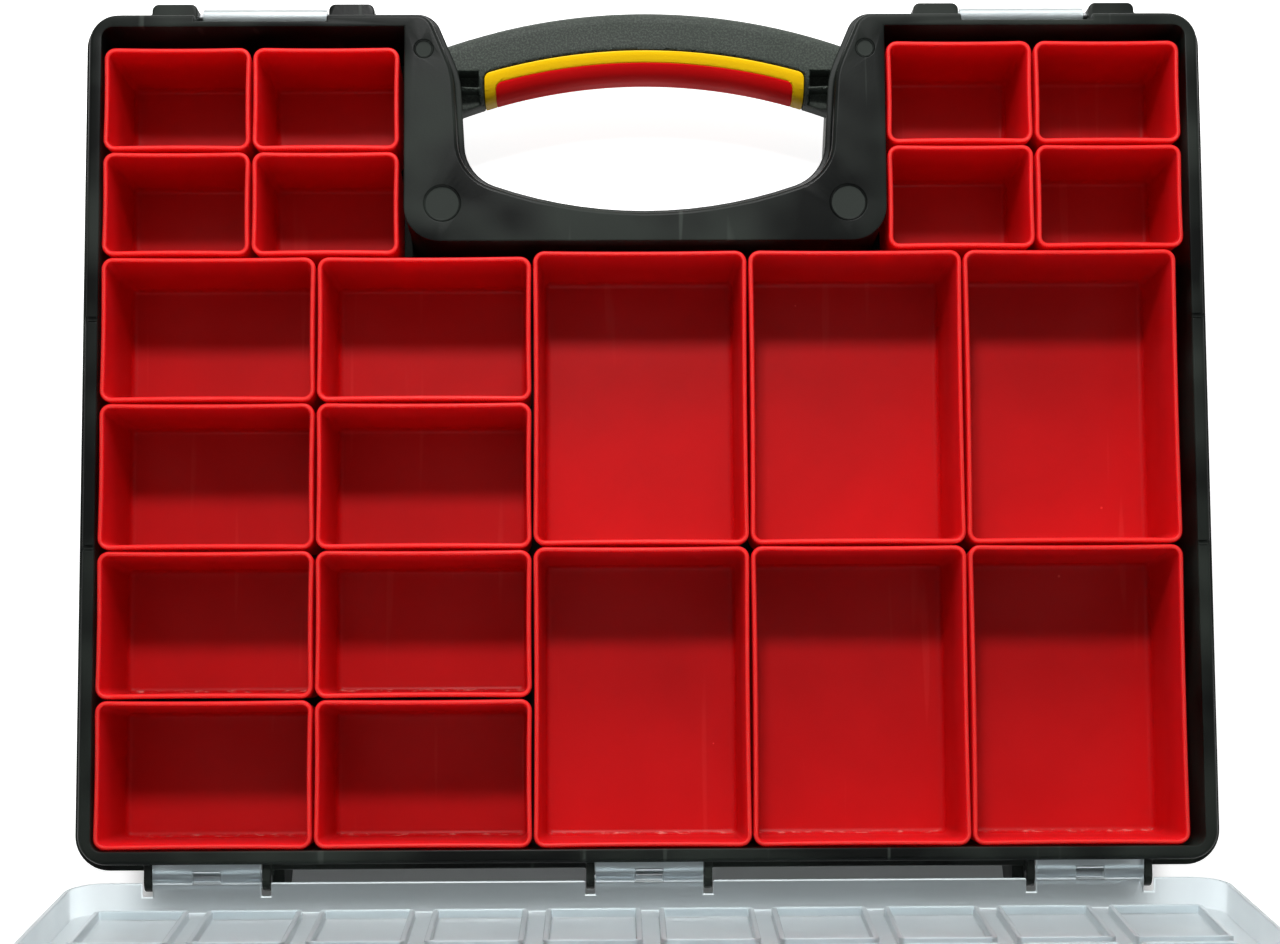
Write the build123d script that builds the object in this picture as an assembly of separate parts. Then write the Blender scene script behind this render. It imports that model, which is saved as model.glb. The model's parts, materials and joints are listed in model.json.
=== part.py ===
from build123d import *
import math
import os

# Small parts organizer: a shallow case with a swinging lid, 22 lift-out bins and a handle set in a bay.
# Millimetres. X runs along the long side, +Y points to the handle and the latches, +Z up.
# The origin is the centre of the flat underside. The lid and the latches are drawn open.

# Bins: outer sizes at the rim, X by Y
small_bin = (54.6, 39.1)
medium_bin = (79.0, 53.9)
large_bin = (79.0, 109.2)
bin_height = 47.0
bin_wall = 1.8
bin_floor = 1.5
bin_corner = 3.7
bin_taper = 2.0
bin_foot_round = 2.2
bin_floor_round = 1.6
bin_gap = 0.4

# How the bins are laid out: two columns of medium bins, then three of large ones
medium_columns = 2
large_columns = 3
medium_rows = 4
large_rows = 2
small_rows = 2

# Room left round the bins
side_gap = 0.5
far_side_gap = 4.9
front_gap = 7.3
bay_side_gap = 1.7
bay_row_gap = 3.3

# Case base
floor_thickness = 2.2
wall = 2.2
wall_taper = 0.8
foot_round = 3.0
rim_width = 4.8
rim_above_bins = 1.7
rim_corner = 10.5
rim_round = 1.6
band_height = 10.2
ledge_width = 2.2
ledge_drop = 7.7
ledge_thickness = 1.6
rim_slot_width = 1.4
rim_slot_depth = 0.5
rim_slot_pitch = 84.0

# Handle bay: the opening between the two horns
horn_shelf = 20.5
bay_shelf = 10.8
shelf_thickness = 2.4
bay_corner = 13.0
opening_rise = 14.3
opening_corner = 19.0
throat_flare = 2.2
throat_depth = 22.0
mouth_flare = 11.5
throat_round = 30.0
horn_round = 7.0
bay_rib = 1.8
bay_rib_pitch = 26.0
horn_rib_places = (22.0, 58.0)
bay_mark_radius = 6.6
bay_mark_inset = 14.2
horn_mark_radius = 3.3
horn_mark_inset = (7.3, 13.3)
mark_depth = 0.4

# Handle
handle_proud = 4.0
handle_sagitta = 11.5
handle_depth = 24.4
handle_height = 28.0
handle_below_ledge = 0.4
handle_end_gap = 0.2
handle_back_round = 5.0
handle_finger_round = 12.0
grip_length = 120.0
grip_reach = 15.1
grip_thickness = 2.6
grip_frame_width = 4.2
grip_gap = 0.25
grip_corner = 3.0
tongue_width = 8.0
tongue_height = 14.0
tongue_reach = 4.0
tongue_gap = 0.1
pocket_size = (7.6, 5.6)
pocket_depth = 9.0
pocket_pitch = 6.7
pocket_from_back = 16.0
pocket_from_end = 5.0

# Hinges
hinge_spread = 159.4
tab_width = 39.0
tab_gap = 0.3
tab_length = 6.8
tab_window = (10.0, 7.4)
lug_thickness = 3.0
lug_radius = 4.3
barrel_radius = 3.3
hinge_pin_radius = 1.5
hinge_pin_gap = 0.05
axis_out = 5.5
axis_above_ledge = 0.2
notch_gap = 0.35
notch_depth = 5.0
stop_gap = 0.05
open_angle = 100.0

# Standing feet beside the outer hinges
stand_foot_width = 7.0
stand_foot_out = 8.0
stand_foot_height = 22.0

# Lid
lid_gap = 0.6
lid_wall = 1.9
lid_above_ledge = 0.6
lid_panel = 1.8
lid_edge_round = 1.2
rings_per_column = 2
ring_height = 3.3
ring_above_rim = 0.5
ring_bar = 2.0
ring_gap = 6.3
ring_corner = 2.5

# Latches
latch_spread = 142.5
latch_opening = 49.0
latch_side_gap = 0.5
ear_width = 17.0
ear_height = 19.0
ear_proud = 0.15
ear_round = 2.5
ear_chamfer = 5.0
latch_plate = 2.0
latch_barrel_radius = 2.9
latch_barrel_gap = 1.2
latch_shoulder = 5.0
latch_pin_radius = 1.25
latch_pin_gap = 0.05
latch_axis_drop = 7.2
latch_gap = 0.35
hook_height = 1.6
hook_bite = 0.95
thumb_reach = 1.6
catch_reach = 1.2
catch_height = 2.0
catch_width = 40.0
catch_drop = 3.4
latch_swing = 170.0

# Working values: how far cutters run past a face, and how near two lengths count as equal
over = 1.0
close = 0.01

# Heights that follow
floor_z = floor_thickness
bins_top_z = floor_z + bin_height
rim_z = bins_top_z + rim_above_bins
ledge_z = rim_z - ledge_drop
band_foot_z = rim_z - band_height
lid_skirt_z = ledge_z + lid_above_ledge
ring_z = rim_z + ring_above_rim
lid_under_z = ring_z + ring_height
lid_top_z = lid_under_z + lid_panel
handle_top_z = ledge_z - ledge_thickness - handle_below_ledge
handle_foot_z = handle_top_z - handle_height

# Plan sizes that follow
columns = medium_columns + large_columns
medium_depth = medium_rows * (medium_bin[1] + bin_gap)
large_depth = large_rows * (large_bin[1] + bin_gap)
small_depth = small_rows * (small_bin[1] + bin_gap)
inner_x = columns * (medium_bin[0] + bin_gap) - bin_gap + side_gap + far_side_gap
inner_y = medium_depth + small_depth + front_gap
inner_corner = bin_corner + bin_gap
half_x = inner_x / 2 + rim_width
half_y = inner_y / 2 + rim_width
wall_face_y = inner_y / 2 + wall
first_bin_y = -inner_y / 2 + bin_gap
bay_half = inner_x / 2 - side_gap - 2 * small_bin[0] - bin_gap - bay_side_gap
large_rows_top = first_bin_y + large_depth - bin_gap
medium_rows_top = first_bin_y + medium_depth - bin_gap
bay_foot_y = max(large_rows_top, medium_rows_top) + bay_row_gap
waist_half = bay_half - horn_shelf
throat_half = waist_half + throat_flare
mouth_half = waist_half + mouth_flare
opening_foot_y = bay_foot_y + bay_shelf

# Handle arc that follows
handle_radius = throat_half ** 2 / (2 * handle_sagitta) + handle_sagitta / 2
handle_centre_y = half_y + handle_proud - handle_radius

# Hinges that follow
hinge_y = -half_y - axis_out
hinge_z = ledge_z + axis_above_ledge
hinge_places = (("left", -hinge_spread), ("centre", 0.0), ("right", hinge_spread))
hinge_axis = Axis((0, hinge_y, hinge_z), (1, 0, 0))
lug_inner = tab_width / 2 + tab_gap
lug_outer = lug_inner + lug_thickness
tab_face = axis_out - lid_gap
tab_sweep = math.hypot(tab_face, tab_length) + notch_gap
open_turn = math.radians(open_angle)
stop_z = hinge_z + tab_face * math.sin(open_turn) - tab_length * math.cos(open_turn) + stop_gap

# Latches that follow
lid_face_y = half_y + lid_gap + lid_wall
plate_face_y = lid_face_y + catch_reach + latch_gap
latch_y = plate_face_y + latch_plate - latch_barrel_radius
latch_z = ledge_z - latch_axis_drop
latch_places = (("left", -latch_spread), ("right", latch_spread))
latch_axis = Axis((0, latch_y, latch_z), (-1, 0, 0))
catch_top_z = lid_top_z - catch_drop
hook_z = catch_top_z + latch_gap
ear_face_y = plate_face_y + latch_plate + ear_proud


def block(x0, x1, y0, y1, z0, z1):
    """A plain block between two corners."""
    solid = Box(x1 - x0, y1 - y0, z1 - z0, align=(Align.MIN, Align.MIN, Align.MIN))
    return Pos(x0, y0, z0) * solid


def rod(radius, length, x, y, z):
    """A round rod along X, centred on a point."""
    return Pos(x, y, z) * Rot(0, 90, 0) * Cylinder(radius, length)


def side_profile(points, x0, x1):
    """A (y, z) outline pushed along X."""
    face = make_face(Polyline(*[(x0, y, z) for y, z in points], close=True))
    return extrude(face, x1 - x0, dir=(1, 0, 0))


def slab(plan, z0, z1, taper=0.0):
    """A plan outline between two heights, narrowing downwards by its taper."""
    return extrude(Pos(0, 0, z1) * plan, z1 - z0, dir=(0, 0, -1), taper=taper)


def opening_plan(grow=0.0):
    """The handle opening between the horns, which runs out past the front edge."""
    throat_y = half_y - throat_depth
    slope = (mouth_half - throat_half) / throat_depth
    out = (mouth_half + slope * throat_depth, half_y + throat_depth)
    throat = (throat_half, throat_y)
    corner = (waist_half, opening_foot_y + opening_rise)
    right = Line(out, throat) + Line(throat, corner)
    left = mirror(right, Plane.YZ)
    foot = ThreePointArc(corner, (0, opening_foot_y), (-corner[0], corner[1]))
    top = Line(out, (-out[0], out[1]))
    face = make_face(right + foot + left + top)
    face = fillet([v for v in face.vertices() if v.Y < corner[1] + over], opening_corner)
    face = fillet([v for v in face.vertices() if abs(v.Y - throat_y) < close], throat_round)
    return offset(face, grow) if grow else face


def case_plan(grow=0.0):
    """The rim's outline with the handle opening cut out of it."""
    plan = RectangleRounded(2 * half_x, 2 * half_y, rim_corner) - opening_plan()
    front = [v for v in plan.vertices() if abs(v.Y - half_y) < close]
    tips = [v for v in front if abs(v.X) < mouth_half + over]
    plan = fillet(tips, horn_round)
    return offset(plan, grow) if grow else plan


def bay_plan(shrink=0.0):
    """The handle bay's block as the inside of the case meets it."""
    depth = 2 * (half_y - bay_foot_y)
    plan = RectangleRounded(2 * (bay_half - shrink), depth - shrink, bay_corner - shrink)
    return Pos(0, bay_foot_y + shrink + (depth - shrink) / 2) * plan


def bay_hollow():
    """The hollow under the bay's shelf, open underneath, round its cross ribs."""
    plan = bay_plan(wall) & Rectangle(inner_x, inner_y)
    plan -= opening_plan(wall)
    hollow = slab(plan, -over, rim_z - shelf_thickness)
    reach = int(waist_half // bay_rib_pitch)
    for i in range(-reach, reach + 1):
        x = i * bay_rib_pitch
        hollow -= block(x - bay_rib / 2, x + bay_rib / 2, bay_foot_y, opening_foot_y, 0, rim_z)
    for place in horn_rib_places:
        y = opening_foot_y + place
        hollow -= block(-bay_half, bay_half, y - bay_rib / 2, y + bay_rib / 2, 0, rim_z)
    return hollow


def tongue(side, grow=0.0):
    """The tongue at one end of the handle, or its slot in the horn."""
    x = side * (throat_half + tongue_reach / 2)
    y = half_y - throat_depth - tongue_width / 2
    z = (handle_top_z + handle_foot_z) / 2
    size = (tongue_reach + 2 * throat_flare + 2 * over, tongue_width, tongue_height)
    return Pos(x, y, z) * Box(*[length + 2 * grow for length in size])


def hinge_lugs(x):
    """The two lugs of one hinge, with their webs to the wall."""
    lugs = Part()
    for x0 in (x - lug_outer, x + lug_inner):
        top = hinge_z + lug_radius
        low = hinge_z - lug_radius
        lugs += block(x0, x0 + lug_thickness, hinge_y, -wall_face_y + over, low, top)
        lugs += rod(lug_radius, lug_thickness, x0 + lug_thickness / 2, hinge_y, hinge_z)
    return lugs


def hinge_relief(x):
    """Room behind a lid tab: the ledge and the lower rim are cut back to let it swing."""
    low = hinge_z - tab_sweep
    back = hinge_y + tab_sweep
    return block(x - lug_inner, x + lug_inner, hinge_y, back, low, stop_z)


def stand_foot(x, side):
    """A foot with sloping ends on the rear wall, beside one lug of an outer hinge."""
    wall_y = -wall_face_y + over
    face_y = -half_y - stand_foot_out
    top = band_foot_z - over
    low = top - stand_foot_height
    points = [(wall_y, top), (face_y, top - over), (face_y, low), (wall_y, low - stand_foot_out)]
    near = x + side * lug_inner
    x0, x1 = sorted((near, near + side * stand_foot_width))
    return side_profile(points, x0, x1)


def latch_ears(x):
    """The two ears that a latch hangs between."""
    ears = Part()
    low = ledge_z - ear_height
    points = [
        (wall_face_y - over, low),
        (ear_face_y - ear_chamfer, low),
        (ear_face_y, low + ear_chamfer),
        (ear_face_y, ledge_z),
        (wall_face_y - over, ledge_z),
    ]
    for side in (-1, 1):
        near = x + side * latch_opening / 2
        x0, x1 = sorted((near, near + side * ear_width))
        ear = side_profile(points, x0, x1)
        ears += fillet(ear.edges().filter_by(Axis.Z).group_by(Axis.Y)[-1], ear_round)
    return ears


def latch_relief(x):
    """The rim and ledge are cut away between the ears, down to the bare wall."""
    half = latch_opening / 2
    return block(x - half, x + half, wall_face_y, half_y + 2 * ledge_width,
                 band_foot_z - over, rim_z + over)


def rim_marks():
    """Shallow round marks on the bay's shelf, and thin slots across the side rims."""
    marks = Part()
    depth = mark_depth + over
    for side in (-1, 1):
        large = (side * (bay_half - bay_mark_inset), bay_foot_y + bay_mark_inset)
        small = (side * (bay_half - horn_mark_inset[0]), half_y - horn_mark_inset[1])
        marks += Pos(*large, rim_z - mark_depth + depth / 2) * Cylinder(bay_mark_radius, depth)
        marks += Pos(*small, rim_z - mark_depth + depth / 2) * Cylinder(horn_mark_radius, depth)
        for place in (-rim_slot_pitch / 2, rim_slot_pitch / 2):
            x0, x1 = sorted((side * (half_x - rim_width - over), side * (half_x + over)))
            y0 = place - rim_slot_width / 2
            marks += block(x0, x1, y0, y0 + rim_slot_width, rim_z - rim_slot_depth, rim_z + over)
    return marks


def case_base():
    """The black moulded base: floor, tapered walls, rim, ledge, handle bay, ears and lugs."""
    outline = RectangleRounded(inner_x + 2 * wall, inner_y + 2 * wall, inner_corner + wall)
    base = slab(outline, 0, band_foot_z + over, wall_taper)
    base = fillet(base.edges().group_by(Axis.Z)[0], foot_round)
    base -= slab(opening_plan(), -over, band_foot_z + 2 * over)
    band = slab(case_plan(), band_foot_z, rim_z)
    base += fillet(band.edges().group_by(Axis.Z)[-1], rim_round)
    base += slab(case_plan(ledge_width), ledge_z - ledge_thickness, ledge_z)
    hollow = RectangleRounded(inner_x, inner_y, inner_corner) - bay_plan()
    base -= slab(hollow, rim_z, rim_z + over)
    base -= slab(hollow, floor_z, rim_z, wall_taper)
    base -= bay_hollow()
    base -= rim_marks()
    for side in (-1, 1):
        base -= tongue(side, tongue_gap)
    for name, x in latch_places:
        base -= latch_relief(x)
        base += latch_ears(x)
        base -= rod(latch_pin_radius, latch_opening + 2 * ear_width, x, latch_y, latch_z)
    for name, x in hinge_places:
        base -= hinge_relief(x)
        base += hinge_lugs(x)
        base -= rod(hinge_pin_radius, 2 * lug_outer + over, x, hinge_y, hinge_z)
    for side in (-1, 1):
        base += stand_foot(side * hinge_spread, -side)
    return base


def ring(x, y, size_x, size_y):
    """One raised bead ring on the inside of the lid."""
    outer = RectangleRounded(size_x, size_y, ring_corner)
    inner = Rectangle(size_x - 2 * ring_bar, size_y - 2 * ring_bar)
    return slab(Pos(x, y) * (outer - inner), ring_z, lid_under_z + lid_panel / 2)


def lid_rings():
    """Two rings over each medium bin and half of each large one, and one over each small bin."""
    rings = []
    pitch_x = inner_x / columns / rings_per_column
    pitch_y = medium_bin[1] + bin_gap
    for i in range(columns * rings_per_column):
        for j in range(medium_rows):
            x = (i + 0.5) * pitch_x - inner_x / 2
            y = first_bin_y + medium_bin[1] / 2 + j * pitch_y
            rings.append(ring(x, y, pitch_x - ring_gap, pitch_y - ring_gap))
    for x, y in small_places():
        rings.append(ring(x, y, small_bin[0] + bin_gap - ring_gap, small_bin[1] + bin_gap - ring_gap))
    return rings


def hinge_tab(x):
    """One hinge tab of the closed lid: a plate with its barrel, moulding window and bore."""
    half = tab_width / 2
    face_y = -half_y - lid_gap
    low = hinge_z - tab_length
    tab = block(x - half, x + half, face_y - lid_wall, face_y, low, lid_skirt_z + over)
    tab += rod(barrel_radius, tab_width, x, hinge_y, hinge_z)
    wide, tall = tab_window
    tab -= block(x - wide / 2, x + wide / 2, face_y - lid_wall, face_y + over,
                 hinge_z - tall / 2, hinge_z + tall / 2)
    return tab - rod(hinge_pin_radius + hinge_pin_gap, tab_width + over, x, hinge_y, hinge_z)


def lug_notches(x):
    """Room in the lid's skirt for the two lugs of one hinge."""
    face_y = -half_y - lid_gap
    half = tab_width / 2
    reach = lug_outer + notch_gap
    notches = Part()
    for x0, x1 in ((x - reach, x - half), (x + half, x + reach)):
        notches += block(x0, x1, face_y - lid_wall - over, face_y + over,
                         lid_skirt_z - over, lid_skirt_z + notch_depth)
    return notches


def closed_lid():
    """The frosted lid as it lies when the case is shut."""
    outside = slab(case_plan(lid_gap + lid_wall), lid_skirt_z, lid_top_z)
    outside = fillet(outside.edges().group_by(Axis.Z)[-1], lid_edge_round)
    lid = outside - slab(case_plan(lid_gap), lid_skirt_z - over, lid_under_z)
    for name, x in hinge_places:
        lid += hinge_tab(x)
        lid -= lug_notches(x)
    for name, x in latch_places:
        half = catch_width / 2
        top = catch_top_z
        points = [
            (lid_face_y - over, top),
            (lid_face_y + catch_reach, top),
            (lid_face_y + catch_reach, top - catch_height / 2),
            (lid_face_y - over, top - catch_height),
        ]
        lid += side_profile(points, x - half, x + half)
    return lid + lid_rings()


def closed_latch(x):
    """A latch as it holds the lid: barrel, plate, hook and thumb edge."""
    top = hook_z + hook_height
    half = latch_opening / 2 - latch_side_gap
    neck = latch_opening / 2 - latch_barrel_gap
    out_y = plate_face_y + latch_plate
    latch = rod(latch_barrel_radius, 2 * neck, x, latch_y, latch_z)
    latch += block(x - neck, x + neck, plate_face_y, out_y, latch_z, latch_z + latch_shoulder + over)
    latch += block(x - half, x + half, plate_face_y, out_y, latch_z + latch_shoulder, top)
    hook = [
        (plate_face_y + over, hook_z),
        (plate_face_y - hook_bite, hook_z),
        (plate_face_y - hook_bite, hook_z + hook_height / 2),
        (plate_face_y, top),
        (plate_face_y + over, top),
    ]
    latch += side_profile(hook, x - catch_width / 2, x + catch_width / 2)
    thumb = [
        (out_y - over, top),
        (out_y + thumb_reach, top),
        (out_y + thumb_reach, top - hook_height),
        (out_y - over, top - 2 * hook_height - thumb_reach),
    ]
    latch += side_profile(thumb, x - catch_width / 2, x + catch_width / 2)
    return latch - rod(latch_pin_radius + latch_pin_gap, latch_opening, x, latch_y, latch_z)


def handle_band(from_back, to_back, half_length):
    """The part of the handle's plan between two depths from its back edge, up to a half length."""
    outer = Pos(0, handle_centre_y) * Circle(handle_radius - from_back)
    inner = Pos(0, handle_centre_y) * Circle(handle_radius - to_back)
    keep = Pos(0, half_y) * Rectangle(2 * half_length, 2 * handle_depth + 4 * handle_sagitta)
    return (outer - inner) & keep


def handle_blank(inset=0.0):
    """The handle's full form, or its core drawn in on the finger side and above and below."""
    plan = handle_band(0, handle_depth - inset, mouth_half)
    plan = plan & opening_plan(-handle_end_gap)
    blank = slab(plan, handle_foot_z + inset, handle_top_z - inset)
    for radius, rounding in (
        (handle_radius, handle_back_round),
        (handle_radius - handle_depth + inset, handle_finger_round - inset),
    ):
        arcs = blank.edges().filter_by(GeomType.CIRCLE)
        blank = fillet([e for e in arcs if abs(e.radius - radius) < close], rounding)
    return blank


def grip_zone(shrink):
    """The slab of space that the grip pieces take, drawn in at its edges."""
    plan = handle_band(grip_reach + shrink, handle_depth + over, grip_length / 2 - shrink)
    plan = fillet(plan.vertices().sort_by(Axis.Y)[-2:], grip_corner)
    return slab(plan, handle_foot_z - over, handle_top_z + over)


def grip_skin():
    """Everything of the handle that lies outside its core."""
    return handle_blank() - handle_blank(grip_thickness)


def handle_body():
    """The grained handle with its grip recess, end tongues and moulding pockets."""
    body = handle_blank() - (grip_skin() & grip_zone(-grip_gap))
    for side in (-1, 1):
        body += tongue(side) & slab(Rectangle(2 * (throat_half + tongue_reach), 4 * half_y), 0, rim_z)
        x = side * (throat_half - pocket_from_end)
        back_y = handle_centre_y + math.sqrt(handle_radius ** 2 - x ** 2)
        for step in (0, 1):
            y = back_y - pocket_from_back - step * pocket_pitch
            body -= Pos(x, y, handle_top_z) * Box(*pocket_size, 2 * pocket_depth)
    return body


def bin_piece(size):
    """A tapered open bin with rounded corners and a rounded foot."""
    plan = RectangleRounded(*size, bin_corner)
    inside = RectangleRounded(size[0] - 2 * bin_wall, size[1] - 2 * bin_wall, bin_corner - bin_wall)
    body = slab(plan, floor_z, bins_top_z, bin_taper)
    body = fillet(body.edges().group_by(Axis.Z)[0], bin_foot_round)
    hollow = slab(inside, floor_z + bin_floor, bins_top_z, bin_taper)
    hollow = fillet(hollow.edges().group_by(Axis.Z)[0], bin_floor_round)
    return body - hollow


def small_places():
    """Centres of the eight small bins: two by two in the left block, then in the right."""
    places = []
    for left, foot in ((-inner_x / 2, medium_rows_top), (bay_half, large_rows_top)):
        for row in reversed(range(small_rows)):
            for column in (0, 1):
                x = left + side_gap + small_bin[0] / 2 + column * (small_bin[0] + bin_gap)
                y = foot + bin_gap + small_bin[1] / 2 + row * (small_bin[1] + bin_gap)
                places.append((x, y))
    return places


def grid_places(size, first_column, count, rows):
    """Centres of a block of equal bins, from the front row to the rear one."""
    places = []
    for row in reversed(range(rows)):
        for column in range(first_column, first_column + count):
            x = -inner_x / 2 + side_gap + size[0] / 2 + column * (medium_bin[0] + bin_gap)
            y = first_bin_y + size[1] / 2 + row * (size[1] + bin_gap)
            places.append((x, y))
    return places


def build():
    """Every piece by its name."""
    pieces = {"case_base": case_base(), "handle_body": handle_body()}
    skin = grip_skin()
    pieces["grip_frame"] = skin & (grip_zone(0) - grip_zone(grip_frame_width))
    pieces["grip_insert"] = skin & grip_zone(grip_frame_width)
    pieces["lid"] = closed_lid().rotate(hinge_axis, open_angle)
    for name, x in hinge_places:
        pieces["hinge_pin_" + name] = rod(hinge_pin_radius, 2 * lug_outer, x, hinge_y, hinge_z)
    for name, x in latch_places:
        pieces["latch_" + name] = closed_latch(x).rotate(latch_axis, latch_swing)
        length = latch_opening + ear_width
        pieces["latch_pin_" + name] = rod(latch_pin_radius, length, x, latch_y, latch_z)
    kinds = (
        ("small", small_bin, small_places()),
        ("medium", medium_bin, grid_places(medium_bin, 0, medium_columns, medium_rows)),
        ("large", large_bin, grid_places(large_bin, medium_columns, large_columns, large_rows)),
    )
    for kind, size, places in kinds:
        piece = bin_piece(size)
        for number, (x, y) in enumerate(places, 1):
            pieces[f"bin_{kind}_{number}"] = Pos(x, y, 0) * piece
    return pieces


os.makedirs("parts", exist_ok=True)
for node, piece in build().items():
    export_step(piece, f"parts/{node}.step")
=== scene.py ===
import bmesh
import bpy
import json
import math
from mathutils import Euler, Matrix, Vector
from mathutils.bvhtree import BVHTree


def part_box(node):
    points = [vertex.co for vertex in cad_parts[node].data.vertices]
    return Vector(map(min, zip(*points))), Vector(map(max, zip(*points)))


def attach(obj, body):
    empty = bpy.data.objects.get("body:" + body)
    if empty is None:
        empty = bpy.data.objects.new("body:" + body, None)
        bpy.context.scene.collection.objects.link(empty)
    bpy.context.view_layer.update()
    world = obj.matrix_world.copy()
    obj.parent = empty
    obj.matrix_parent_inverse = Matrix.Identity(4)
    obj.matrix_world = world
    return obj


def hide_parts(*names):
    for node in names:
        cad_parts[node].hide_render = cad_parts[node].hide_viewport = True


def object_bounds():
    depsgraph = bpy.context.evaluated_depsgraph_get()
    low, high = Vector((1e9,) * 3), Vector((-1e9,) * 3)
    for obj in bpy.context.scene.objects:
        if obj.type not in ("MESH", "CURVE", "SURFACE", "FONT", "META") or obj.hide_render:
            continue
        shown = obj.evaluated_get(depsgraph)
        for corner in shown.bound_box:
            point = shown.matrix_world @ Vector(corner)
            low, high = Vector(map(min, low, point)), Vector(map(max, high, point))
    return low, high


# Small parts organizer: a black case with 22 red lift-out bins, a frosted lid that stands open
# along the near edge, and a dark grained handle with a red and yellow grip.
# Lengths are in metres, and those given in millimetres are times mm. Colours are as seen on a
# screen, 0 to 255.

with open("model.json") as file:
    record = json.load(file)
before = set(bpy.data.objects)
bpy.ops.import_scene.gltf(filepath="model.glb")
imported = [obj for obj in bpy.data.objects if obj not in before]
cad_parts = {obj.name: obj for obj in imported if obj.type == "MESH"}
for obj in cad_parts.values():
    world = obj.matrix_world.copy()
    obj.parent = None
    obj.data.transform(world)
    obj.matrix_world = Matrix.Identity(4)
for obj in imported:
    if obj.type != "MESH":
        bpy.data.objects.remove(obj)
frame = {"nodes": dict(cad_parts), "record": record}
cad_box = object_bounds()

mm = 0.001

# The least upward part of a face's normal for the face to count as looking up
facing_up = 0.9

# Bins: the wall and its draft, and the rounding of the corners, the foot and the rim
bin_wall = 1.8 * mm
bin_taper = math.radians(2.0)
bin_corner = 4.4 * mm
bin_corner_steps = 7
bin_foot_round = 4.0 * mm
bin_foot_steps = 4
bin_rim_round = 0.8 * mm
bin_rim_steps = 4
bin_rim_angle = math.radians(55)
bin_merge = 0.02 * mm

# Bins: how far the walls bow in at the rim, and the strips and levels that they bow by. A point
# belongs to a wall when it lies beyond wall_begins of the way from the middle to the outside.
wall_bow = 0.35 * mm
wall_strip = 9 * mm
wall_strips_least = 4
wall_levels = 5
wall_begins = 0.9

# The other mouldings: how far their sharp edges are rounded off, which edges count as sharp and
# as flat, and how many times that width a point may then lie off the CAD shape
soft_edges = {
    "case_base": 0.6 * mm, "lid": 0.5 * mm, "handle_body": 0.6 * mm, "grip_frame": 0.4 * mm,
    "grip_insert": 0.4 * mm, "latch_left": 0.4 * mm, "latch_right": 0.4 * mm,
}
soft_edge_steps = 2
sharp_angle = math.radians(40)
flat_angle = math.radians(0.5)
shading_angle = math.radians(32)
shape_merge = 0.002 * mm
stray_widths = 1.2

# All plastics: the soft patches of a second colour, the heights of grain whose tops take a painted
# highlight, and the faint rub marks of the smooth ones, as (lines per metre, least, strength)
patches_per_metre = 22.0
patch_share = 0.8
grain_top_highlight_heights = (0.46, 0.62)
few_rubs = (260.0, 0.84, 0.2)

# Case: the ejector pins' round marks, as (across, along, radius), on both sides of the middle
pin_marks = ((75.0 * mm, 84.95 * mm, 6.2 * mm), (81.9 * mm, 143.2 * mm, 3.2 * mm))
pin_mark_edge = 0.3 * mm
pin_mark_colour = (46, 50, 47)
pin_mark_roughness = 0.75

# Bins: a painted glow, brighter towards the rim, for light that enters the thin walls, and a
# painted highlight along the rim's crest, as (from height, to height, colour)
painted_glow_and_rim_highlight_bands = ((24 * mm, 48.6 * mm, (228, 22, 28)), (49.05 * mm, 49.19 * mm, (250, 56, 52)))

# Bins: a painted highlight, a pale broken line along the rounding at the foot of the near wall
# where it faces the lamps, with the heights that it lies between, how far it fades out, how much
# the wall faces the handle, and its torn pattern
foot_highlight_heights = (4.1 * mm, 5.0 * mm)
foot_highlight_fade = 0.3 * mm
foot_highlight_facing = (0.25, 0.5)
foot_highlight_breaks_per_metre = 900.0
foot_highlight_stretch = (0.35, 1.0, 1.0)
foot_highlight_levels = (0.54, 0.72)
foot_highlight_strength = 0.6
foot_highlight_colour = (246, 150, 140)

# Camera, as the photograph was taken: almost straight above, from the lid's side. The turn is in
# degrees, and the film's width and the lens in millimetres, as Blender takes them.
camera_place = (-13.1 * mm, -123.4 * mm, 953.6 * mm)
camera_turn = (5.37, -0.63, -0.32)
camera_film = 36.0
camera_lens = 70.01
camera_shift = 0.05

# Light: a small and a wide lamp beyond the handle and a weak one on the lid's side, as (place,
# size, power in watts), and the level of the even room
lamps = {
    "small lamp": ((-0.05, 0.593, 0.957), 0.14, 8.0),
    "wide lamp": ((0.0, 1.10, 0.75), 0.7, 13.4),
    "near lamp": ((0.05, -0.75, 1.25), 0.6, 0.9),
}
room_level = 0.07

# Floor: its side, its colour as shaders take it, and how far it is lifted to plain white between
# two distances from the object, at the nearer and at the further one
floor_size = 6.0
floor_colour = (0.72, 0.72, 0.71, 1)
floor_roughness = 0.9
floor_reach = (4 * mm, 60 * mm)
floor_lift = (0.92, 0.95)

# Floor: the strip under the open lid that isn't lifted, by its middle, half its size and its fade
shade_middle = (0.0, -160 * mm, 0.0)
shade_half = (181 * mm, 10 * mm, 1.0)
shade_fade = 20 * mm


def tone(red, green, blue):
    """A colour as seen on a screen, 0 to 255, in the linear values that shaders take."""
    def linear(level):
        level /= 255
        return level / 12.92 if level <= 0.04045 else ((level + 0.055) / 1.055) ** 2.4
    return (linear(red), linear(green), linear(blue), 1.0)


# Shader nodes

def fill(node, inputs):
    """Sets or links a shader node's inputs."""
    for socket, value in inputs.items():
        if isinstance(value, bpy.types.NodeSocket):
            node.id_data.links.new(value, node.inputs[socket])
        else:
            node.inputs[socket].default_value = value


def put(tree, kind, inputs=(), **settings):
    """Adds a shader node, with its options set and its inputs filled or linked."""
    node = tree.nodes.new("ShaderNode" + kind)
    for option, value in settings.items():
        setattr(node, option, value)
    fill(node, dict(inputs))
    return node


def reckon(tree, operation, first, second=0.0):
    """What a sum on one or two values gives."""
    return put(tree, "Math", {0: first, 1: second}, operation=operation).outputs[0]


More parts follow.
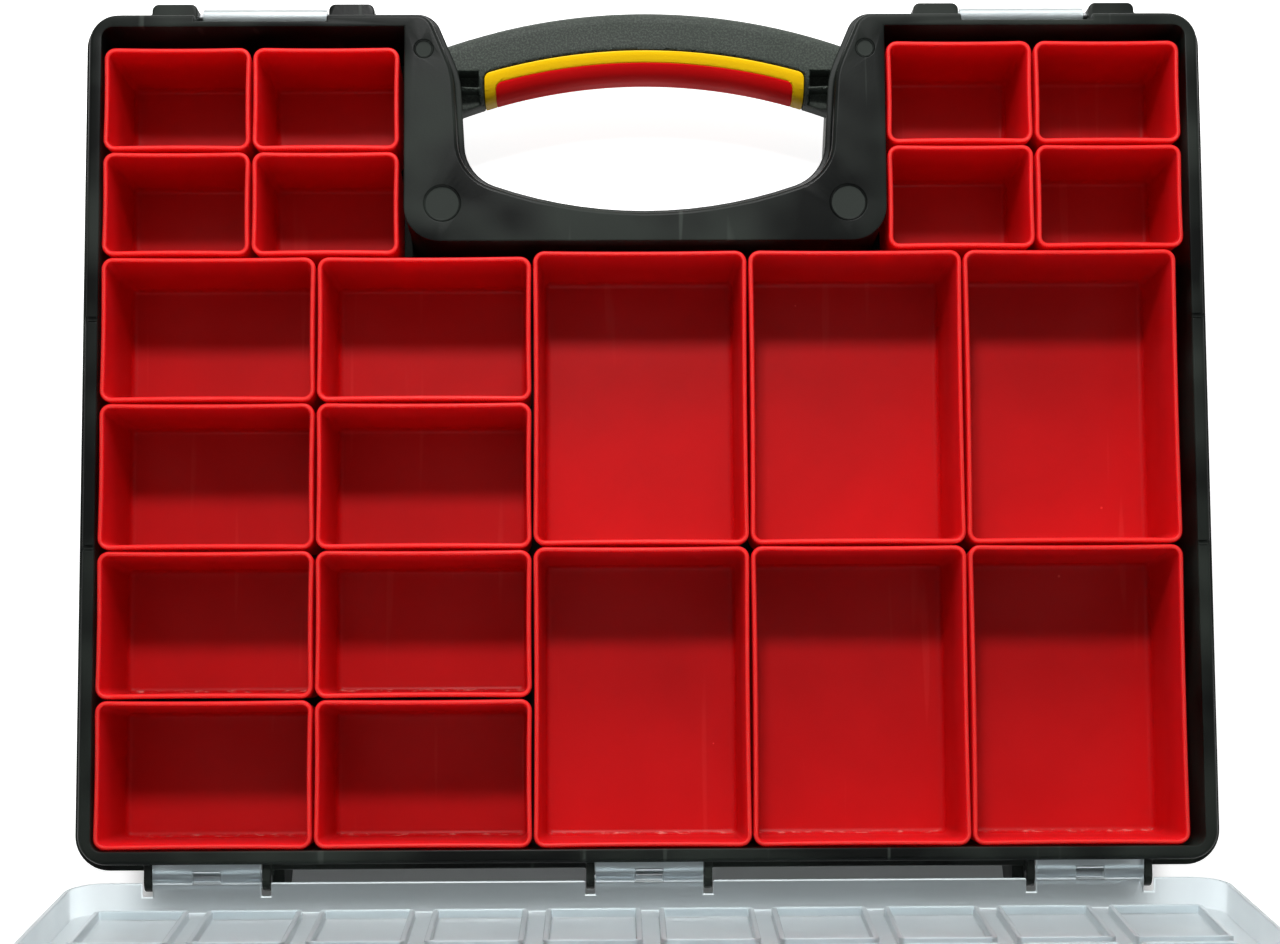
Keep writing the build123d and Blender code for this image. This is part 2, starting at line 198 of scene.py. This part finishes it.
def ramp(tree, value, start, end, low=0.0, high=1.0, curve="LINEAR"):
    """Goes from low to high as a value goes from start to end, and stays within them."""
    return put(tree, "MapRange",
               {"Value": value, "From Min": start, "From Max": end, "To Min": low, "To Max": high},
               interpolation_type=curve).outputs[0]


def blend_colours(tree, share, first, second):
    """A colour between two, by a share that goes over the surface."""
    return put(tree, "Mix", {0: share, 6: first, 7: second}, data_type="RGBA").outputs[2]


def blend_values(tree, share, first, second):
    """A value between two, by a share that goes over the surface."""
    return put(tree, "Mix", {0: share, 2: first, 3: second}, data_type="FLOAT").outputs[0]


def place_on_piece(tree):
    """The place on the piece, which every pattern follows."""
    return put(tree, "TexCoord").outputs["Object"]


def along(tree, vector, axis):
    """One axis of a vector."""
    return put(tree, "SeparateXYZ", {0: vector}).outputs[axis]


def facing(tree, axis):
    """How much the surface faces along an axis."""
    return along(tree, put(tree, "NewGeometry").outputs["Normal"], axis)


def new_effect(name, inputs, outputs):
    """A shader node group with its named sockets, what it is given, and the node that puts out."""
    group = bpy.data.node_groups.new(name, "ShaderNodeTree")
    for label, kind, value in inputs:
        socket = group.interface.new_socket(label, in_out="INPUT", socket_type="NodeSocket" + kind)
        socket.default_value = value
    for label, kind in outputs:
        group.interface.new_socket(label, in_out="OUTPUT", socket_type="NodeSocket" + kind)
    given = group.nodes.new("NodeGroupInput").outputs
    made = group.nodes.new("NodeGroupOutput")
    return group, given, made


def moulded_grain():
    """The fine spark-eroded texture of a mould, as a height."""
    group, given, made = new_effect(
        "moulded grain",
        [("Grains per metre", "Float", 1500.0), ("Coarse share", "Float", 0.4)],
        [("Height", "Float")],
    )
    coarseness = 0.33
    place = place_on_piece(group)
    fine = put(group, "TexNoise", {"Vector": place, "Scale": given["Grains per metre"],
                                   "Detail": 1.0, "Roughness": 0.6}).outputs["Fac"]
    scale = reckon(group, "MULTIPLY", given["Grains per metre"], coarseness)
    coarse = put(group, "TexNoise", {"Vector": place, "Scale": scale, "Detail": 0.0}).outputs["Fac"]
    fill(made, {"Height": blend_values(group, given["Coarse share"], fine, coarse)})
    return group


def soft_tone():
    """A colour that drifts between two over large soft patches."""
    group, given, made = new_effect(
        "soft tone",
        [("Colour", "Color", (0.5, 0.5, 0.5, 1)), ("Patch colour", "Color", (0.5, 0.5, 0.5, 1)),
         ("Patches per metre", "Float", 20.0), ("Share", "Float", 0.5)],
        [("Colour", "Color"), ("Patches", "Float")],
    )
    patch_begins, patch_full = 0.4, 0.65
    cloud = put(group, "TexNoise", {"Vector": place_on_piece(group),
                                    "Scale": given["Patches per metre"],
                                    "Detail": 2.0, "Roughness": 0.55}).outputs["Fac"]
    patches = ramp(group, cloud, patch_begins, patch_full)
    share = reckon(group, "MULTIPLY", patches, given["Share"])
    fill(made, {"Colour": blend_colours(group, share, given["Colour"], given["Patch colour"]),
                "Patches": patches})
    return group


def rub_marks():
    """Thin rubbed lines in two directions, as a mask."""
    group, given, made = new_effect(
        "rub marks",
        [("Lines per metre", "Float", 300.0), ("Least", "Float", 0.72), ("Strength", "Float", 0.5)],
        [("Mask", "Float")],
    )
    line_turns, line_tilt, line_stretch, line_edge = (0.3, 1.9), (0.2, 0.1), (1.0, 0.05, 0.3), 0.05
    place = place_on_piece(group)
    full = reckon(group, "ADD", given["Least"], line_edge)
    masks = []
    for turn in line_turns:
        laid = put(group, "Mapping", {"Vector": place, "Rotation": (*line_tilt, turn),
                                      "Scale": line_stretch}).outputs[0]
        lines = put(group, "TexNoise", {"Vector": laid, "Scale": given["Lines per metre"],
                                        "Detail": 0.0}).outputs["Fac"]
        masks.append(ramp(group, lines, given["Least"], full))
    both = reckon(group, "MAXIMUM", *masks)
    fill(made, {"Mask": reckon(group, "MULTIPLY", both, given["Strength"])})
    return group


def dust_specks():
    """Tiny pale specks scattered far apart, as a mask."""
    group, given, made = new_effect(
        "dust specks",
        [("Cells per metre", "Float", 120.0), ("Speck size", "Float", 0.06),
         ("Share", "Float", 0.15)],
        [("Mask", "Float")],
    )
    cells = put(group, "TexVoronoi", {"Vector": place_on_piece(group),
                                      "Scale": given["Cells per metre"]}).outputs
    near = reckon(group, "LESS_THAN", cells["Distance"], given["Speck size"])
    colour = put(group, "SeparateColor", {0: cells["Color"]}).outputs[0]
    chosen = reckon(group, "LESS_THAN", colour, given["Share"])
    fill(made, {"Mask": reckon(group, "MULTIPLY", near, chosen)})
    return group


effects = {
    "grain": moulded_grain(),
    "tone": soft_tone(),
    "rubs": rub_marks(),
    "specks": dust_specks(),
}


def use(tree, effect, inputs):
    """Places one of the shared effects in a material, and gives what it puts out."""
    return put(tree, "Group", inputs, node_tree=effects[effect]).outputs


# Finishes

def plastic(name, colour, patch, gloss, grain, rubs, marks, specks=0.0, grain_top_highlight=None, shader=()):
    """A moulded plastic: drifting colour, uneven gloss, a moulded grain, rub marks and specks.

    patch is the colour of the soft patches, and gloss the roughness outside and inside them.
    grain is (grains per metre, share of coarse grain, depth), and a colour may be given for a
    painted highlight on the grain's tops.
    rubs is (lines per metre, least, strength), and specks the share of places with a speck.
    marks is the colour of both. shader gives the values that are the same all over."""
    material = bpy.data.materials.new(name)
    material.use_nodes = True
    tree = material.node_tree
    base = use(tree, "tone", {"Colour": tone(*colour), "Patch colour": tone(*patch),
                              "Patches per metre": patches_per_metre, "Share": patch_share})
    per_metre, least, strength = rubs
    lines = use(tree, "rubs", {"Lines per metre": per_metre, "Least": least, "Strength": strength})
    dots = use(tree, "specks", {"Share": specks})
    marked = reckon(tree, "MAXIMUM", lines["Mask"], dots["Mask"])
    grains, coarse_share, depth = grain
    texture = use(tree, "grain", {"Grains per metre": grains, "Coarse share": coarse_share})
    relief = texture["Height"]
    under = base["Colour"]
    if grain_top_highlight:
        under = blend_colours(tree, ramp(tree, relief, *grain_top_highlight_heights), under, tone(*grain_top_highlight))
    bump = put(tree, "Bump", {"Height": relief, "Distance": depth, "Strength": 1.0})
    shell = tree.nodes["Principled BSDF"]
    fill(shell, {"Base Color": blend_colours(tree, marked, under, tone(*marks)),
                 "Roughness": ramp(tree, base["Patches"], 0.0, 1.0, *gloss),
                 "Normal": bump.outputs[0]})
    fill(shell, dict(shader))
    return material


def paint_over(material, share, colour):
    """Lays another colour over a finish, by a share that goes over the surface."""
    base = material.node_tree.nodes["Principled BSDF"].inputs["Base Color"]
    under = base.links[0].from_socket
    painted = blend_colours(material.node_tree, share, under, tone(*colour))
    material.node_tree.links.new(painted, base)


def add_pin_marks(material):
    """The round marks beside the handle and at the far edge: small discs, paler and rougher."""
    tree = material.node_tree
    place = place_on_piece(tree)
    across = reckon(tree, "ABSOLUTE", along(tree, place, "X"))
    flat = put(tree, "CombineXYZ", {"X": across, "Y": along(tree, place, "Y")}).outputs[0]
    mask = 0.0
    for x, y, radius in pin_marks:
        away = put(tree, "VectorMath", {0: flat, 1: (x, y, 0)},
                   operation="DISTANCE").outputs["Value"]
        disc = ramp(tree, away, radius - pin_mark_edge, radius + pin_mark_edge, 1.0, 0.0)
        mask = reckon(tree, "MAXIMUM", mask, disc)
    level = reckon(tree, "GREATER_THAN", facing(tree, "Z"), facing_up)
    mask = reckon(tree, "MULTIPLY", mask, level)
    paint_over(material, mask, pin_mark_colour)
    rough = tree.nodes["Principled BSDF"].inputs["Roughness"]
    rougher = blend_values(tree, mask, rough.links[0].from_socket, pin_mark_roughness)
    tree.links.new(rougher, rough)


def add_painted_glow_and_rim_highlight(material):
    """Paints the bins brighter towards the rim, a painted glow of light in the thin walls, and a
    painted highlight along the rim's crest.
    """
    tree = material.node_tree
    height = along(tree, place_on_piece(tree), "Z")
    for low, high, bright in painted_glow_and_rim_highlight_bands:
        paint_over(material, ramp(tree, height, low, high, curve="SMOOTHSTEP"), bright)


def add_painted_foot_highlight(material):
    """A painted highlight: a pale broken line along the rounding at the foot of a bin's near wall,
    which faces the lamps.
    """
    tree = material.node_tree
    place = place_on_piece(tree)
    height = along(tree, place, "Z")
    low, high = foot_highlight_heights
    drawn_out = put(tree, "Mapping", {"Vector": place, "Scale": foot_highlight_stretch}).outputs[0]
    torn = put(tree, "TexNoise", {"Vector": drawn_out, "Scale": foot_highlight_breaks_per_metre,
                                  "Detail": 2.0}).outputs["Fac"]
    mask = ramp(tree, torn, *foot_highlight_levels, 0.0, foot_highlight_strength)
    above = ramp(tree, height, low, low + foot_highlight_fade)
    below = ramp(tree, height, high, high + foot_highlight_fade, 1.0, 0.0)
    inner_side = ramp(tree, facing(tree, "Y"), *foot_highlight_facing)
    for limit in (above, below, inner_side):
        mask = reckon(tree, "MULTIPLY", mask, limit)
    paint_over(material, mask, foot_highlight_colour)


finishes = {
    # Case: its paler patch colour is a painted sheen, partly smears; the same patches also vary its
    # gloss.
    "case_black": plastic(
        "case black", (6, 8, 7), (42, 47, 43), gloss=(0.28, 0.5), grain=(1400.0, 0.3, 0.02 * mm),
        rubs=(260.0, 0.78, 0.35), marks=(76, 82, 77), specks=0.05,
        shader={"Specular IOR Level": 0.08}),
    # Handle: the pale colour on the grain's tops is a painted highlight.
    "handle_grained": plastic(
        "handle grained", (34, 39, 35), (42, 48, 43), gloss=(0.55, 0.66),
        grain=(4200.0, 0.4, 0.12 * mm), rubs=(220.0, 0.82, 0.25), marks=(95, 100, 94), specks=0.02,
        grain_top_highlight=(62, 69, 62), shader={"Specular IOR Level": 0.2}),
    "grip_yellow": plastic(
        "grip yellow", (255, 203, 5), (248, 196, 5), gloss=(0.42, 0.5),
        grain=(1500.0, 0.3, 0.03 * mm), rubs=few_rubs, marks=(255, 225, 120),
        shader={"Specular IOR Level": 0.12}),
    "grip_red": plastic(
        "grip red", (255, 22, 26), (248, 18, 22), gloss=(0.5, 0.6), grain=(1300.0, 0.4, 0.05 * mm),
        rubs=few_rubs, marks=(235, 90, 80), shader={"Specular IOR Level": 0.06}),
    "bin_red": plastic(
        "bin red", (202, 19, 23), (192, 15, 19), gloss=(0.34, 0.44),
        grain=(2000.0, 0.2, 0.008 * mm), rubs=(240.0, 0.80, 0.18), marks=(226, 70, 66), specks=0.05,
        shader={"Specular IOR Level": 0.09, "Subsurface Weight": 0.8, "Subsurface Scale": 6 * mm,
                "Subsurface Radius": (1.0, 0.16, 0.14)}),
    "lid_frosted": plastic(
        "lid frosted", (232, 241, 244), (225, 235, 239), gloss=(0.30, 0.38),
        grain=(1500.0, 0.3, 0.02 * mm), rubs=few_rubs, marks=(240, 245, 246),
        shader={"Transmission Weight": 0.95, "IOR": 1.5, "Specular IOR Level": 0.15}),
    "latch_frosted": plastic(
        "latch frosted", (236, 242, 243), (229, 236, 238), gloss=(0.3, 0.4),
        grain=(1500.0, 0.3, 0.02 * mm), rubs=few_rubs, marks=(240, 245, 246),
        shader={"Transmission Weight": 0.8, "IOR": 1.5}),
    "pin_steel": plastic(
        "pin steel", (150, 152, 154), (130, 132, 134), gloss=(0.28, 0.4),
        grain=(2400.0, 0.2, 0.01 * mm), rubs=(500.0, 0.78, 0.4), marks=(190, 192, 194),
        shader={"Metallic": 1.0}),
}
add_pin_marks(finishes["case_black"])
add_painted_glow_and_rim_highlight(finishes["bin_red"])
add_painted_foot_highlight(finishes["bin_red"])


# Pieces

record = frame["record"]
slots = {part["node"]: part["material_slot"] for part in record["subparts"]}
bodies = {node: body for body, nodes in record["behaviour"]["bodies"].items() for node in nodes}


def finished_mesh(bm, name):
    """Turns a bmesh into a mesh and lets go of it."""
    mesh = bpy.data.meshes.new(name)
    bm.to_mesh(mesh)
    bm.free()
    return mesh


def keep_piece(bm, node):
    """Makes a moulding the piece that stands for a CAD node, with its finish, slot and body."""
    mesh = finished_mesh(bm, node + "_moulding")
    mesh.shade_smooth()
    mesh.materials.append(finishes[slots[node]])
    piece = bpy.data.objects.new(node + "_moulding", mesh)
    bpy.context.scene.collection.objects.link(piece)
    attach(piece, bodies[node])
    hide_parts(node)
    return piece


def keep_flats(piece):
    """Shades flat faces flat, with all the turning of the light on the rounded edges."""
    shading = piece.modifiers.new("shading", "WEIGHTED_NORMAL")
    shading.keep_sharp = True


def round_edges(bm, edges, width, steps):
    """Rounds edges off to a width, in a number of steps."""
    bmesh.ops.bevel(bm, geom=edges, offset=width, offset_type="OFFSET", affect="EDGES",
                    segments=steps, profile=0.5, material=-1)


def cut_across(bm, place, normal):
    """Divides the faces of a shape along a plane."""
    bmesh.ops.bisect_plane(bm, geom=bm.verts[:] + bm.edges[:] + bm.faces[:],
                           plane_co=place, plane_no=normal)


def divide_walls(bm, low, centre, size, draw_in):
    """Divides a bin's walls into upright strips and level bands, so that they can bow."""
    for axis, length in ((0, size.x), (1, size.y)):
        strips = max(wall_strips_least, round(length / wall_strip))
        for cut in range(1, strips):
            place, normal = centre.copy(), Vector((0, 0, 0))
            place[axis] += (cut / strips - 0.5) * (length - 2 * bin_corner - draw_in)
            normal[axis] = 1
            cut_across(bm, place, normal)
    for level in range(1, wall_levels):
        cut_across(bm, (0, 0, low.z + level / wall_levels * size.z), (0, 0, 1))


def bow_walls(bm, low, centre, size):
    """Draws a bin's walls in towards their middles, more so near the rim."""
    for vertex in bm.verts:
        rise = (vertex.co.z - low.z) / size.z
        for axis, other in ((0, 1), (1, 0)):
            from_middle = (vertex.co[other] - centre[other]) / (size[other] / 2)
            side = (vertex.co[axis] - centre[axis]) / (size[axis] / 2)
            bow = wall_bow * rise * max(0.0, 1 - from_middle ** 2)
            if abs(side) > wall_begins:
                vertex.co[axis] -= math.copysign(bow, side)


def lift_out_bin(node):
    """A bin moulding: a block with round corners, drawn in to its foot, opened and bowed."""
    low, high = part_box(node)
    size, centre = high - low, (high + low) / 2
    bm = bmesh.new()
    bmesh.ops.create_cube(bm, size=1.0)
    bmesh.ops.scale(bm, vec=size, verts=bm.verts)
    bmesh.ops.translate(bm, vec=centre, verts=bm.verts)
    upright = [e for e in bm.edges if abs(e.verts[0].co.z - e.verts[1].co.z) > size.z / 2]
    round_edges(bm, upright, bin_corner, bin_corner_steps)
    draw_in = 2 * size.z * math.tan(bin_taper)
    foot = [v for v in bm.verts if v.co.z < centre.z]
    bmesh.ops.scale(bm, vec=(1 - draw_in / size.x, 1 - draw_in / size.y, 1), verts=foot,
                    space=Matrix.Translation(-centre))
    top = [f for f in bm.faces if f.normal.z > facing_up]
    bmesh.ops.delete(bm, geom=top, context="FACES_ONLY")
    around_foot = [e for e in bm.edges if all(v.co.z < centre.z for v in e.verts)]
    round_edges(bm, around_foot, bin_foot_round, bin_foot_steps)
    divide_walls(bm, low, centre, size, draw_in)
    bmesh.ops.remove_doubles(bm, verts=bm.verts, dist=bin_merge)
    bow_walls(bm, low, centre, size)
    piece = keep_piece(bm, node)
    wall = piece.modifiers.new("wall", "SOLIDIFY")
    wall.thickness, wall.offset, wall.use_even_offset = bin_wall, -1.0, True
    rim = piece.modifiers.new("rim", "BEVEL")
    rim.width, rim.segments = bin_rim_round, bin_rim_steps
    rim.limit_method, rim.angle_limit = "ANGLE", bin_rim_angle
    keep_flats(piece)


def softened(node, width):
    """A CAD node's own shape, with its sharp edges rounded off a little as moulded edges are.

    Where two roundings meet badly, a point can land off the shape, and is brought back to it."""
    bm = bmesh.new()
    bm.from_mesh(frame["nodes"][node].data)
    bmesh.ops.remove_doubles(bm, verts=bm.verts, dist=shape_merge)
    bmesh.ops.dissolve_limit(bm, angle_limit=flat_angle, verts=bm.verts, edges=bm.edges)
    shape = BVHTree.FromBMesh(bm)
    paired = [e for e in bm.edges if len(e.link_faces) == 2]
    sharp = [e for e in paired if e.calc_face_angle() > sharp_angle]
    round_edges(bm, sharp, width, soft_edge_steps)
    for vertex in bm.verts:
        on_shape, _, _, away = shape.find_nearest(vertex.co)
        if away > stray_widths * width:
            vertex.co = on_shape
    bmesh.ops.triangulate(bm, faces=[f for f in bm.faces if len(f.verts) > 4])
    piece = keep_piece(bm, node)
    piece.data.set_sharp_from_angle(angle=shading_angle)
    keep_flats(piece)


for node in slots:
    if node.startswith("bin_"):
        lift_out_bin(node)
    elif node in soft_edges:
        softened(node, soft_edges[node])
    else:
        for holder in frame["nodes"][node].material_slots:
            holder.material = finishes[slots[node]]


# Floor, light and camera

def seen_plainly(tree):
    """One where the camera sees a surface, also in gloss or through the lid, and zero elsewhere."""
    rays = put(tree, "LightPath").outputs
    looks = reckon(tree, "MAXIMUM", rays["Is Camera Ray"], rays["Is Glossy Ray"])
    return reckon(tree, "MAXIMUM", looks, rays["Is Transmission Ray"])


def distance_from(tree, place, middle, half):
    """How far a place on the floor lies outside a rectangle."""
    moved = put(tree, "VectorMath", {0: place, 1: middle}, operation="SUBTRACT").outputs[0]
    folded = put(tree, "VectorMath", {0: moved}, operation="ABSOLUTE").outputs[0]
    outside = put(tree, "VectorMath", {0: folded, 1: half}, operation="SUBTRACT").outputs[0]
    beyond = put(tree, "VectorMath", {0: outside, 1: (0, 0, 0)}, operation="MAXIMUM").outputs[0]
    return put(tree, "VectorMath", {0: beyond}, operation="LENGTH").outputs["Value"]


def floor_finish():
    """A pale matt floor that looks plain white where it is lifted, and keeps its shadows."""
    material = bpy.data.materials.new("floor white")
    material.use_nodes = True
    tree = material.node_tree
    place = place_on_piece(tree)
    low, high = cad_box
    middle = ((low.x + high.x) / 2, (low.y + high.y) / 2, 0)
    half = ((high.x - low.x) / 2, (high.y - low.y) / 2, 0)
    away = distance_from(tree, place, middle, half)
    near = ramp(tree, away, *floor_reach, *floor_lift, curve="SMOOTHSTEP")
    from_strip = distance_from(tree, place, shade_middle, shade_half)
    open_floor = ramp(tree, from_strip, 0.0, shade_fade, curve="SMOOTHSTEP")
    lift = reckon(tree, "MULTIPLY", near, open_floor)
    fill(tree.nodes["Principled BSDF"],
         {"Base Color": floor_colour, "Roughness": floor_roughness, "Specular IOR Level": 0.0,
          "Emission Color": (1, 1, 1, 1),
          "Emission Strength": reckon(tree, "MULTIPLY", lift, seen_plainly(tree))})
    return material


def white_floor():
    """The floor, which isn't part of the object."""
    bm = bmesh.new()
    bmesh.ops.create_grid(bm, x_segments=2, y_segments=2, size=floor_size / 2)
    mesh = finished_mesh(bm, "floor")
    mesh.materials.append(floor_finish())
    floor = bpy.data.objects.new("floor", mesh)
    bpy.context.scene.collection.objects.link(floor)


def plain_room():
    """An even room light that looks white to the camera, and in gloss and through the lid."""
    world = bpy.data.worlds.new("plain room")
    bpy.context.scene.world = world
    world.use_nodes = True
    tree = world.node_tree
    level = ramp(tree, seen_plainly(tree), 0.0, 1.0, room_level, 1.0)
    fill(tree.nodes["Background"], {"Color": (1, 1, 1, 1), "Strength": level})


def soft_lamps():
    """The round lamps, each aimed at the middle of the case."""
    for name, (place, size, power) in lamps.items():
        light = bpy.data.lights.new(name, "AREA")
        light.shape, light.size, light.energy = "DISK", size, power
        lamp = bpy.data.objects.new(name, light)
        lamp.location = place
        lamp.rotation_euler = Vector(place).to_track_quat("Z", "Y").to_euler()
        bpy.context.scene.collection.objects.link(lamp)


def photo_camera():
    """The camera at the photograph's viewing angle."""
    data = bpy.data.cameras.new("camera")
    data.sensor_width, data.lens, data.shift_y = camera_film, camera_lens, camera_shift
    camera = bpy.data.objects.new("camera", data)
    camera.location = camera_place
    camera.rotation_euler = Euler([math.radians(angle) for angle in camera_turn])
    bpy.context.scene.collection.objects.link(camera)
    bpy.context.scene.camera = camera


white_floor()
plain_room()
soft_lamps()
photo_camera()
bpy.context.scene.view_settings.view_transform = "Standard"
